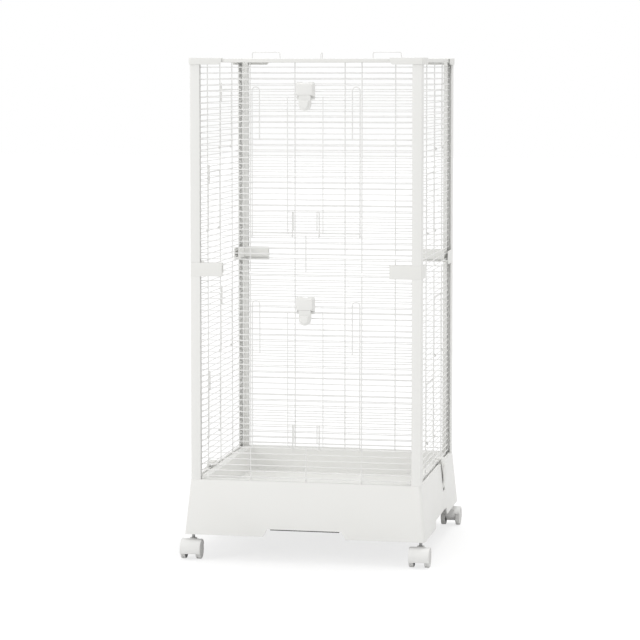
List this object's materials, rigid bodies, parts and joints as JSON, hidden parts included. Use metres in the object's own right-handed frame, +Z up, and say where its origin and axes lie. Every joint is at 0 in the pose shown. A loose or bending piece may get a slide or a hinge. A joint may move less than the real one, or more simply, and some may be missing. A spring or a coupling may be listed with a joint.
{
  "type": "bird cage",
  "caption": "Tall square wire bird cage on a deep flared base with swivel casters, drop-down front and side doors, sliding hatches and a lift-up roof door.",
  "frame": {"origin": "on the floor under the centre of the cage, bottom centre of the bounding box", "axes": "X to the right seen from the front, Y from the front to the back, Z up; the front doors face -Y"},
  "size_m": [0.4812, 0.4762, 0.972],
  "materials": {
    "base_plastic": "smooth moulded, soft sheen",
    "post_plastic": "extruded, soft sheen",
    "fitting_plastic": "moulded, soft sheen",
    "latch_plastic": "moulded, soft sheen",
    "clip_plastic": "moulded, soft sheen",
    "caster_plastic": "moulded, smooth",
    "wheel_plastic": "matt moulded tread",
    "wire": "powder coated, satin",
    "stem_steel": "turned, dull"
  },
  "bodies": {
    "frame": {"base_tray": "base_plastic", "post_lower_front_left": "post_plastic", "post_lower_front_right": "post_plastic", "post_lower_rear_left": "post_plastic", "post_lower_rear_right": "post_plastic", "post_upper_front_left": "post_plastic", "post_upper_front_right": "post_plastic", "post_upper_rear_left": "post_plastic", "post_upper_rear_right": "post_plastic", "joiner_front_left": "fitting_plastic", "joiner_front_right": "fitting_plastic", "joiner_rear_left": "fitting_plastic", "joiner_rear_right": "fitting_plastic", "top_cap_front_left": "fitting_plastic", "top_cap_front_right": "fitting_plastic", "top_cap_rear_left": "fitting_plastic", "top_cap_rear_right": "fitting_plastic", "top_rails": "fitting_plastic", "panel_front_lower": "wire", "panel_front_upper": "wire", "panel_back_lower": "wire", "panel_back_upper": "wire", "panel_left_lower": "wire", "panel_left_upper": "wire", "panel_right_lower": "wire", "panel_right_upper": "wire", "roof_panel": "wire", "caster_stems": "stem_steel"},
    "caster_front_left": {"caster_hood_front_left": "caster_plastic"},
    "wheels_front_left": {"caster_wheels_front_left": "wheel_plastic"},
    "caster_front_right": {"caster_hood_front_right": "caster_plastic"},
    "wheels_front_right": {"caster_wheels_front_right": "wheel_plastic"},
    "caster_rear_left": {"caster_hood_rear_left": "caster_plastic"},
    "wheels_rear_left": {"caster_wheels_rear_left": "wheel_plastic"},
    "caster_rear_right": {"caster_hood_rear_right": "caster_plastic"},
    "wheels_rear_right": {"caster_wheels_rear_right": "wheel_plastic"},
    "front_door_upper": {"front_door_upper": "wire", "latch_housing_upper": "latch_plastic", "latch_plate_upper": "latch_plastic"},
    "hatch_upper": {"hatch_upper": "wire"},
    "latch_slider_upper": {"latch_slider_upper": "latch_plastic"},
    "front_door_lower": {"front_door_lower": "wire", "latch_housing_lower": "latch_plastic", "latch_plate_lower": "latch_plastic"},
    "hatch_lower": {"hatch_lower": "wire"},
    "latch_slider_lower": {"latch_slider_lower": "latch_plastic"},
    "side_door_left_upper_high": {"side_door_left_upper_high": "wire"},
    "side_door_left_upper_low": {"side_door_left_upper_low": "wire"},
    "side_door_left_lower_high": {"side_door_left_lower_high": "wire"},
    "side_door_left_lower_low": {"side_door_left_lower_low": "wire"},
    "side_door_right_upper_high": {"side_door_right_upper_high": "wire"},
    "side_door_right_upper_low": {"side_door_right_upper_low": "wire"},
    "side_door_right_lower_high": {"side_door_right_lower_high": "wire"},
    "side_door_right_lower_low": {"side_door_right_lower_low": "wire"},
    "roof_door": {"roof_door": "wire"},
    "roof_handle_left": {"roof_handle_left": "wire"},
    "roof_handle_right": {"roof_handle_right": "wire"},
    "base_clip_left": {"base_clip_left": "clip_plastic"},
    "base_clip_right": {"base_clip_right": "clip_plastic"}
  },
  "joints": [
    {"name": "caster_swivel_front_left", "type": "hinge", "parent": "frame", "child": "caster_front_left", "pos_m": [-0.2211, -0.2046, 0.038], "axis": [0, 0, 1], "continuous": true},
    {"name": "caster_roll_front_left", "type": "hinge", "parent": "caster_front_left", "child": "wheels_front_left", "pos_m": [-0.2211, -0.2176, 0.0175], "axis": [1, 0, 0], "continuous": true},
    {"name": "caster_swivel_front_right", "type": "hinge", "parent": "frame", "child": "caster_front_right", "pos_m": [0.2211, -0.2046, 0.038], "axis": [0, 0, 1], "continuous": true},
    {"name": "caster_roll_front_right", "type": "hinge", "parent": "caster_front_right", "child": "wheels_front_right", "pos_m": [0.2211, -0.2176, 0.0175], "axis": [1, 0, 0], "continuous": true},
    {"name": "caster_swivel_rear_left", "type": "hinge", "parent": "frame", "child": "caster_rear_left", "pos_m": [-0.2211, 0.2046, 0.038], "axis": [0, 0, 1], "continuous": true},
    {"name": "caster_roll_rear_left", "type": "hinge", "parent": "caster_rear_left", "child": "wheels_rear_left", "pos_m": [-0.2211, 0.2176, 0.0175], "axis": [1, 0, 0], "continuous": true},
    {"name": "caster_swivel_rear_right", "type": "hinge", "parent": "frame", "child": "caster_rear_right", "pos_m": [0.2211, 0.2046, 0.038], "axis": [0, 0, 1], "continuous": true},
    {"name": "caster_roll_rear_right", "type": "hinge", "parent": "caster_rear_right", "child": "wheels_rear_right", "pos_m": [0.2211, 0.2176, 0.0175], "axis": [1, 0, 0], "continuous": true},
    {"name": "front_door_hinge_upper", "type": "hinge", "parent": "frame", "child": "front_door_upper", "pos_m": [0, -0.2089, 0.62297], "axis": [1, 0, 0], "range_deg": [0, 140]},
    {"name": "hatch_slide_upper", "type": "slide", "parent": "front_door_upper", "child": "hatch_upper", "axis": [0, 0, 1], "range_m": [0, 0.045]},
    {"name": "latch_slide_upper", "type": "slide", "parent": "front_door_upper", "child": "latch_slider_upper", "axis": [0, 0, 1], "range_m": [0, 0.006]},
    {"name": "front_door_hinge_lower", "type": "hinge", "parent": "frame", "child": "front_door_lower", "pos_m": [0, -0.2089, 0.21707], "axis": [1, 0, 0], "range_deg": [0, 130]},
    {"name": "hatch_slide_lower", "type": "slide", "parent": "front_door_lower", "child": "hatch_lower", "axis": [0, 0, 1], "range_m": [0, 0.045]},
    {"name": "latch_slide_lower", "type": "slide", "parent": "front_door_lower", "child": "latch_slider_lower", "axis": [0, 0, 1], "range_m": [0, 0.006]},
    {"name": "side_door_left_upper_high_hinge", "type": "hinge", "parent": "frame", "child": "side_door_left_upper_high", "pos_m": [-0.2169, 0.0525, 0.78215], "axis": [0, -1, 0], "range_deg": [0, 160]},
    {"name": "side_door_left_upper_low_hinge", "type": "hinge", "parent": "frame", "child": "side_door_left_upper_low", "pos_m": [-0.2169, -0.0525, 0.62297], "axis": [0, -1, 0], "range_deg": [0, 160]},
    {"name": "side_door_left_lower_high_hinge", "type": "hinge", "parent": "frame", "child": "side_door_left_lower_high", "pos_m": [-0.2169, 0.0525, 0.37625], "axis": [0, -1, 0], "range_deg": [0, 160]},
    {"name": "side_door_left_lower_low_hinge", "type": "hinge", "parent": "frame", "child": "side_door_left_lower_low", "pos_m": [-0.2169, -0.0525, 0.21707], "axis": [0, -1, 0], "range_deg": [0, 140]},
    {"name": "side_door_right_upper_high_hinge", "type": "hinge", "parent": "frame", "child": "side_door_right_upper_high", "pos_m": [0.2169, 0.0525, 0.78215], "axis": [0, 1, 0], "range_deg": [0, 160]},
    {"name": "side_door_right_upper_low_hinge", "type": "hinge", "parent": "frame", "child": "side_door_right_upper_low", "pos_m": [0.2169, -0.0525, 0.62297], "axis": [0, 1, 0], "range_deg": [0, 160]},
    {"name": "side_door_right_lower_high_hinge", "type": "hinge", "parent": "frame", "child": "side_door_right_lower_high", "pos_m": [0.2169, 0.0525, 0.37625], "axis": [0, 1, 0], "range_deg": [0, 160]},
    {"name": "side_door_right_lower_low_hinge", "type": "hinge", "parent": "frame", "child": "side_door_right_lower_low", "pos_m": [0.2169, -0.0525, 0.21707], "axis": [0, 1, 0], "range_deg": [0, 140]},
    {"name": "roof_door_hinge", "type": "hinge", "parent": "frame", "child": "roof_door", "pos_m": [0, 0.07959, 0.9564], "axis": [-1, 0, 0], "range_deg": [0, 110]},
    {"name": "roof_handle_hinge_left", "type": "hinge", "parent": "frame", "child": "roof_handle_left", "pos_m": [-0.121, 0, 0.9564], "axis": [1, 0, 0], "range_deg": [-75, 75]},
    {"name": "roof_handle_hinge_right", "type": "hinge", "parent": "frame", "child": "roof_handle_right", "pos_m": [0.121, 0, 0.9564], "axis": [1, 0, 0], "range_deg": [-75, 75]},
    {"name": "base_clip_hinge_left", "type": "hinge", "parent": "frame", "child": "base_clip_left", "pos_m": [-0.22521, 0.062, 0.108], "axis": [0, -1, 0], "range_deg": [0, 35]},
    {"name": "base_clip_hinge_right", "type": "hinge", "parent": "frame", "child": "base_clip_right", "pos_m": [0.22521, 0.062, 0.108], "axis": [0, 1, 0], "range_deg": [0, 35]}
  ]
}
